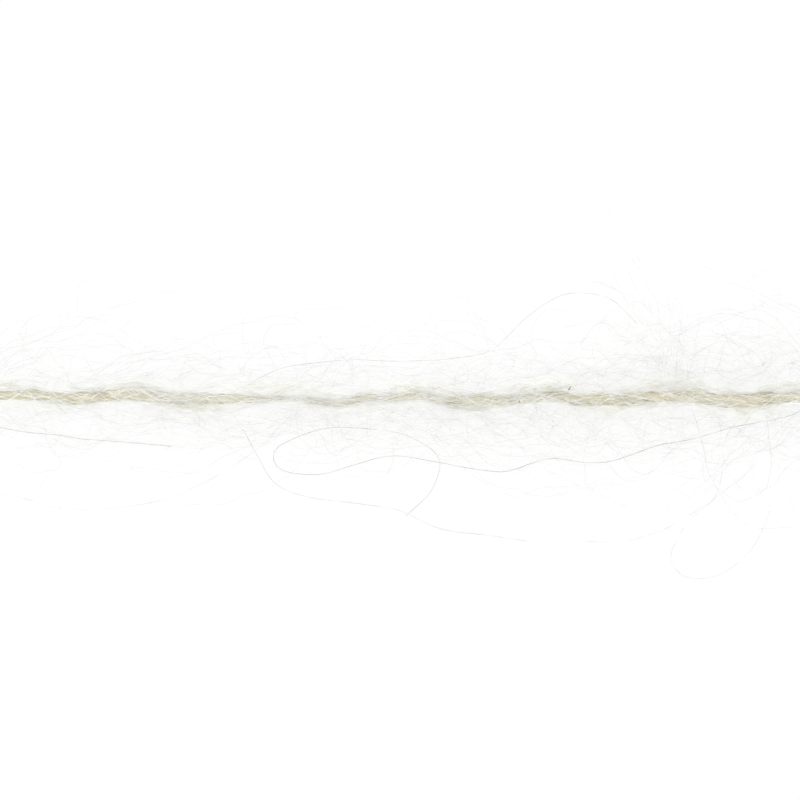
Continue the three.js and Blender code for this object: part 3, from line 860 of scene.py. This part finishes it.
def fibre_tree():
    """Nodes that turn routes into crimped, tapered fibres of a few sides."""
    tree = bpy.data.node_groups.new("alpaca_fibres", "GeometryNodeTree")
    new_socket(tree, "Geometry", "NodeSocketGeometry")
    new_socket(tree, "Sides", "NodeSocketInt", FIBRE_SIDES)
    new_socket(tree, "Crimp", "NodeSocketFloat", 1.0)
    new_socket(tree, "Taper", "NodeSocketFloat", FIBRE_TAPER)
    new_socket(tree, "Seed", "NodeSocketFloat", 1.0)
    new_socket(tree, "Fibre", "NodeSocketMaterial")
    new_socket(tree, "Geometry", "NodeSocketGeometry", direction="OUTPUT")
    link = tree.links.new
    entry = tree.nodes.new("NodeGroupInput")
    exit_node = tree.nodes.new("NodeGroupOutput")

    curves = tree.nodes.new("GeometryNodeMeshToCurve")
    link(entry.outputs["Geometry"], curves.inputs["Mesh"])

    place = tree.nodes.new("GeometryNodeInputPosition")
    noise = tree.nodes.new("ShaderNodeTexNoise")
    noise.noise_dimensions = "4D"
    noise.normalize = False
    noise.inputs["Detail"].default_value = CRIMP_DETAIL
    link(place.outputs[0], noise.inputs["Vector"])
    number = maths(tree, "MULTIPLY", column_value(tree, "fibre"), CRIMP_APART)
    link(maths(tree, "ADD", number, entry.outputs["Seed"]), noise.inputs["W"])
    link(column_value(tree, "wave"), noise.inputs["Scale"])
    rising = maths(tree, "MULTIPLY", column_value(tree, "share"), CRIMP_RISE)
    loosened = maths(tree, "MINIMUM", rising, 1.0)
    crimped = maths(tree, "MULTIPLY", loosened, column_value(tree, "crimp"))
    amount = maths(tree, "MULTIPLY", crimped, entry.outputs["Crimp"])
    push = tree.nodes.new("ShaderNodeVectorMath")
    push.operation = "SCALE"
    link(noise.outputs["Color"], push.inputs[0])
    link(amount, push.inputs["Scale"])
    moved = tree.nodes.new("GeometryNodeSetPosition")
    link(curves.outputs["Curve"], moved.inputs["Geometry"])
    link(push.outputs[0], moved.inputs["Offset"])

    shrink = maths(tree, "MULTIPLY", column_value(tree, "share"), entry.outputs["Taper"])
    thinned = maths(tree, "SUBTRACT", 1.0, shrink)
    radius = maths(tree, "MULTIPLY", column_value(tree, "radius_m"), thinned)
    apart = tree.nodes.new("ShaderNodeSeparateXYZ")
    again = tree.nodes.new("ShaderNodeCombineXYZ")
    link(place.outputs[0], apart.inputs[0])
    link(apart.outputs["X"], again.inputs["X"])
    link(apart.outputs["Y"], again.inputs["Y"])
    link(maths(tree, "MAXIMUM", apart.outputs["Z"], radius), again.inputs["Z"])
    raised = tree.nodes.new("GeometryNodeSetPosition")
    link(moved.outputs[0], raised.inputs["Geometry"])
    link(again.outputs[0], raised.inputs["Position"])
    ring = tree.nodes.new("GeometryNodeCurvePrimitiveCircle")
    ring.inputs["Radius"].default_value = 1.0
    link(entry.outputs["Sides"], ring.inputs["Resolution"])
    around = tree.nodes.new("GeometryNodeStoreNamedAttribute")
    around.inputs["Name"].default_value = "around"
    index = tree.nodes.new("GeometryNodeInputIndex")
    link(ring.outputs["Curve"], around.inputs["Geometry"])
    link(maths(tree, "DIVIDE", index.outputs[0], entry.outputs["Sides"]), around.inputs["Value"])
    tube = tree.nodes.new("GeometryNodeCurveToMesh")
    tube.inputs["Fill Caps"].default_value = True
    link(raised.outputs[0], tube.inputs["Curve"])
    link(around.outputs[0], tube.inputs["Profile Curve"])
    link(radius, tube.inputs["Scale"])

    paint = tree.nodes.new("GeometryNodeSetMaterial")
    link(tube.outputs["Mesh"], paint.inputs["Geometry"])
    link(entry.outputs["Fibre"], paint.inputs["Material"])
    real = tree.nodes.new("GeometryNodeRealizeInstances")
    link(paint.outputs[0], real.inputs[0])
    link(real.outputs[0], exit_node.inputs[0])
    return tree


def made_plain(thing, tree, **sizes):
    """The routes' fibres as a plain closed mesh."""
    modifier = thing.modifiers.new("fibres", "NODES")
    modifier.node_group = tree
    for item in tree.interface.items_tree:
        if item.in_out == "INPUT" and item.name in sizes:
            modifier[item.identifier] = sizes[item.name]
    depsgraph = bpy.context.evaluated_depsgraph_get()
    mesh = bpy.data.meshes.new_from_object(thing.evaluated_get(depsgraph), depsgraph=depsgraph)
    thing.modifiers.remove(modifier)
    routes = thing.data
    name = routes.name
    thing.data = mesh
    bpy.data.meshes.remove(routes)
    mesh.name = name
    unrolled(mesh)
    return thing


def unrolled(mesh):
    """A map in which each fibre is unrolled into a cell of its own."""
    def values(name):
        found = np.empty(len(mesh.vertices), dtype=np.float32)
        mesh.attributes[name].data.foreach_get("value", found)
        return found

    corner_vertex = np.empty(len(mesh.loops), dtype=np.int32)
    mesh.loops.foreach_get("vertex_index", corner_vertex)
    first = np.empty(len(mesh.polygons), dtype=np.int32)
    mesh.polygons.foreach_get("loop_start", first)
    corners = np.empty(len(mesh.polygons), dtype=np.int32)
    mesh.polygons.foreach_get("loop_total", corners)
    face = np.repeat(np.arange(len(first)), corners)
    fibre = values("fibre")[corner_vertex]
    share = values("share")[corner_vertex]
    around = values("around")[corner_vertex]
    widest = np.maximum.reduceat(around, first) - np.minimum.reduceat(around, first)
    around = np.where((widest[face] > SEAM_SPAN) & (around < SEAM_SIDE), around + 1, around)
    is_cap = (np.maximum.reduceat(share, first) - np.minimum.reduceat(share, first) < CAP_SPAN)[face]
    tip = is_cap & (np.arange(len(face)) == first[face])
    share = np.where(tip, np.abs(share - TIP_SHIFT), share)
    cells = math.ceil(math.sqrt(fibre.max() + 1))
    u = (fibre % cells + CELL["left"] + CELL["width"] * around) / cells
    v = (fibre // cells + CELL["bottom"] + CELL["height"] * share) / cells
    layer = mesh.uv_layers.new(name="OFBake")
    layer.uv.foreach_set("vector", np.stack([u, v], axis=1).astype(np.float32).ravel())


def fibre_material(name, dark, light, roughness, sheen):
    """Fibre whose colour follows its shade and wanders a little along it."""
    material = bpy.data.materials.new(name)
    material.use_nodes = True
    nodes = material.node_tree.nodes
    link = material.node_tree.links.new
    shader = nodes["Principled BSDF"]
    shader.inputs["Roughness"].default_value = roughness
    shader.inputs["Specular IOR Level"].default_value = FIBRE_GLOSS
    shader.inputs["Sheen Weight"].default_value = sheen
    shade = nodes.new("ShaderNodeAttribute")
    shade.attribute_name = "shade"
    place = nodes.new("ShaderNodeTexCoord")
    patches = nodes.new("ShaderNodeTexNoise")
    patches.inputs["Scale"].default_value = PATCHES["scale"]
    patches.inputs["Detail"].default_value = PATCHES["detail"]
    link(place.outputs["Object"], patches.inputs["Vector"])
    wander = nodes.new("ShaderNodeMapRange")
    wander.inputs["From Min"].default_value = PATCHES["low"]
    wander.inputs["From Max"].default_value = PATCHES["high"]
    wander.inputs["To Min"].default_value = -PATCHES["shift"]
    wander.inputs["To Max"].default_value = PATCHES["shift"]
    link(patches.outputs["Fac"], wander.inputs["Value"])
    both = nodes.new("ShaderNodeMath")
    both.operation = "ADD"
    both.use_clamp = True
    link(shade.outputs["Fac"], both.inputs[0])
    link(wander.outputs["Result"], both.inputs[1])
    ramp = nodes.new("ShaderNodeValToRGB")
    ramp.color_ramp.elements[0].color = (*dark, 1)
    ramp.color_ramp.elements[1].color = (*light, 1)
    link(both.outputs[0], ramp.inputs["Fac"])
    link(ramp.outputs["Color"], shader.inputs["Base Color"])
    return material


def packed_material():
    """The packed fibre inside the strand, streaked along its lay."""
    material = bpy.data.materials.new("packed_fibre")
    material.use_nodes = True
    nodes = material.node_tree.nodes
    link = material.node_tree.links.new
    shader = nodes["Principled BSDF"]
    shader.inputs["Roughness"].default_value = PACKED_FINISH["roughness"]
    shader.inputs["Specular IOR Level"].default_value = PACKED_FINISH["gloss"]
    lay = nodes.new("ShaderNodeAttribute")
    lay.attribute_name = "lay"
    streaks = nodes.new("ShaderNodeTexNoise")
    streaks.inputs["Scale"].default_value = PACKED_FINISH["scale"]
    streaks.inputs["Detail"].default_value = PACKED_FINISH["detail"]
    streaks.inputs["Roughness"].default_value = PACKED_FINISH["grain"]
    link(lay.outputs["Vector"], streaks.inputs["Vector"])
    ramp = nodes.new("ShaderNodeValToRGB")
    ramp.color_ramp.elements[0].position = PACKED_FINISH["low"]
    ramp.color_ramp.elements[0].color = (*PACKED_FINISH["dark"], 1)
    ramp.color_ramp.elements[1].position = PACKED_FINISH["high"]
    ramp.color_ramp.elements[1].color = (*PACKED_FINISH["light"], 1)
    link(streaks.outputs["Fac"], ramp.inputs["Fac"])
    link(ramp.outputs["Color"], shader.inputs["Base Color"])
    bump = nodes.new("ShaderNodeBump")
    bump.inputs["Strength"].default_value = PACKED_FINISH["relief"]
    bump.inputs["Distance"].default_value = PACKED_FINISH["depth"] * MM
    link(streaks.outputs["Fac"], bump.inputs["Height"])
    link(bump.outputs["Normal"], shader.inputs["Normal"])
    return material


def packed_strand(material):
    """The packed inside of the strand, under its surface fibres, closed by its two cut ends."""
    x = np.linspace(STRAND_START, STRAND_END, CORE_STEPS + 1)[:, None]
    _, z, _, _, turn = strand_at(x)
    y, half_width = packed_at(x)
    angle = np.linspace(0, 2 * math.pi, CORE_SIDES, endpoint=False)[None, :]
    lobed = half_width * (1 + LOBE * np.cos(2 * (angle - turn)))
    across = y - np.sin(angle) * lobed
    up = np.maximum(z + np.cos(angle) * FLATNESS * lobed, 0)
    places = np.stack([np.broadcast_to(x, across.shape), across, up], axis=2).reshape(-1, 3)
    along_lay = np.broadcast_to(x * LAY_PACE, across.shape)
    lay = np.stack([np.cos(angle - turn), np.sin(angle - turn), along_lay], axis=2).reshape(-1, 3)
    faces = [tuple(range(CORE_SIDES - 1, -1, -1))]
    for ring in range(CORE_STEPS):
        for side in range(CORE_SIDES):
            here = ring * CORE_SIDES + side
            beside = ring * CORE_SIDES + (side + 1) % CORE_SIDES
            faces.append((here, beside, beside + CORE_SIDES, here + CORE_SIDES))
    faces.append(tuple(CORE_STEPS * CORE_SIDES + side for side in range(CORE_SIDES)))
    mesh = bpy.data.meshes.new("packed_strand")
    mesh.from_pydata((places * MM).tolist(), [], faces)
    attribute = mesh.attributes.new("lay", "FLOAT_VECTOR", "POINT")
    attribute.data.foreach_set("vector", lay.astype(np.float32).ravel())
    mesh.polygons.foreach_set("use_smooth", np.ones(len(mesh.polygons), dtype=bool))
    mesh.materials.append(material)
    thing = bpy.data.objects.new("packed_strand", mesh)
    bpy.context.scene.collection.objects.link(thing)
    return thing


def shaded(routes, radius, shade, sizes, near_body_painted_light):
    """A group of fibres with a shade for each of their points."""
    # Painted light: where asked, the fibres are made paler near the strand's body
    if near_body_painted_light:
        return routes, radius, painted_light_near_body(routes, shade), sizes
    return routes, radius, np.repeat(shade[:, None], routes.shape[1], axis=1), sizes


def group_of(rng, routes, sizes, near_body_painted_light):
    """A group of fibres with radii and shades from their row of sizes."""
    radius = rng.uniform(*sizes["radius"], len(routes))
    shade = rng.uniform(*sizes["shade"], len(routes))
    return shaded(routes, radius, shade, sizes, near_body_painted_light)


def chosen_group(rows, sizes, near_body_painted_light):
    """A group of fibres with chosen points, radii and shades."""
    smoothed = [long_hair(row["points"], SMOOTH_STEPS) for row in rows]
    routes = np.array([resampled(route, sizes["points"]) for route in smoothed])
    radius = np.array([row["radius"] for row in rows])
    shade = np.array([row["shade"] for row in rows])
    return shaded(routes, radius, shade, sizes, near_body_painted_light)


def camera():
    """A camera straight above the strand."""
    data = bpy.data.cameras.new("camera")
    data.lens = LENS
    data.sensor_width = SENSOR
    data.clip_start = NEAREST_SEEN * MM
    thing = bpy.data.objects.new("camera", data)
    distance = VIEW_WIDTH / SENSOR * LENS
    thing.location = (VIEW_CENTRE[0] * MM, VIEW_CENTRE[1] * MM, (VIEW_CENTRE[2] + distance) * MM)
    bpy.context.scene.collection.objects.link(thing)
    bpy.context.scene.camera = thing


def floor():
    """A pale surface, nearly white, that still takes a soft shadow."""
    half = FLOOR_SIZE / 2 * MM
    level = -FLOOR_GAP * MM
    mesh = bpy.data.meshes.new("floor")
    corners = [(-half, -half, level), (half, -half, level), (half, half, level), (-half, half, level)]
    mesh.from_pydata(corners, [], [(0, 1, 2, 3)])
    material = bpy.data.materials.new("pale_surface")
    material.use_nodes = True
    shader = material.node_tree.nodes["Principled BSDF"]
    shader.inputs["Base Color"].default_value = (FLOOR_SHADE, FLOOR_SHADE, FLOOR_SHADE, 1)
    shader.inputs["Specular IOR Level"].default_value = 0.0
    shader.inputs["Roughness"].default_value = 1.0
    shader.inputs["Emission Color"].default_value = (1, 1, 1, 1)
    shader.inputs["Emission Strength"].default_value = FLOOR_GLOW
    mesh.materials.append(material)
    thing = bpy.data.objects.new("floor", mesh)
    bpy.context.scene.collection.objects.link(thing)


def lights():
    """White light from all round, and one large soft light above."""
    world = bpy.data.worlds.new("studio")
    bpy.context.scene.world = world
    world.use_nodes = True
    background = world.node_tree.nodes["Background"]
    background.inputs["Color"].default_value = (1, 1, 1, 1)
    background.inputs["Strength"].default_value = SKY_STRENGTH
    data = bpy.data.lights.new("softbox", "AREA")
    data.size = SOFTBOX["size"] * MM
    data.energy = SOFTBOX["power"]
    thing = bpy.data.objects.new("softbox", data)
    thing.location = [place * MM for place in SOFTBOX["place"]]
    thing.rotation_euler = [math.radians(angle) for angle in SOFTBOX["tilt"]] + [0]
    bpy.context.scene.collection.objects.link(thing)
    bpy.context.scene.view_settings.view_transform = "Standard"


def fibre_pieces():
    """The strand's fibres, from those wound round its packed inside to the hairs of its halo."""
    tree = fibre_tree()
    finish = {name: fibre_material(name, **row) for name, row in FINISHES.items()}
    rng = {name: np.random.default_rng(seed) for name, seed in SEEDS.items()}
    wisps = halo_wisps()

    def group(name, make_routes, sizes, near_body_painted_light=False):
        return group_of(rng[name], make_routes(rng[name], sizes), sizes, near_body_painted_light)

    def piece(name, groups, material, **sizes):
        return made_plain(fibre_routes(name, groups), tree, Fibre=finish[material], **sizes)

    wound = [group("wound", wound_routes, row) for row in (INNER, OUTER)]
    crossing = group("crossing", crossing_routes, CROSSING)
    cover = group("cover", cover_routes, COVER)
    # The groups flagged True get painted light: they are made paler near the strand's body
    haze = group("haze", haze_routes, HAZE, True)
    fluff = group("fluff", fluff_routes, FLUFF)
    tuft = [group("fluff", tuft_routes, row, True) for row in (TUFT_FLUFF, TUFT_LOCK)]
    guard = chosen_group(LONG_HAIRS, GUARD, True)
    specks = chosen_group(SPECKS, SPECK, False)
    pieces = [
        piece("twisted_strand", wound, "cream_fibre", Seed=1.0),
        piece("crossing_fibres", [crossing, cover], "pale_fibre", Seed=2.0),
        piece("surface_haze", [haze, *tuft], "loose_hair", Seed=3.0),
        piece("surface_fluff", [fluff], "downy_fibre", Seed=6.0),
        piece("long_hairs", [guard], "loose_hair", Seed=4.0, Sides=5, Taper=0.25),
        piece("caught_specks", [specks], "dry_plant", Seed=7.0, Sides=6),
    ]
    for side, name in ((1, "upper_halo"), (-1, "lower_halo")):
        near = [points for wisp_side, points in wisps if wisp_side == side]
        in_wisps = wisp_hair_routes(rng["wisp_hairs"], near, WISP_HAIRS)
        groups = [
            group_of(rng["loose"], loose_routes(rng["loose"], side, LOOSE), LOOSE, True),
            group_of(rng["wisp_hairs"], in_wisps, WISP_HAIRS, True),
        ]
        pieces.append(piece(name, groups, "loose_hair", Seed=5.0))
    return pieces


camera()
floor()
lights()
strand, *others = fibre_pieces()
others.append(packed_strand(packed_material()))
for piece in [strand, *others]:
    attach(piece, "root")
    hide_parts("yarn_strand")

# The strand's route: the middle of the solid body
route_x = np.linspace(STRAND_START, STRAND_END, ROUTE_POINTS)
route_y, route_z, _, _, _ = strand_at(route_x)
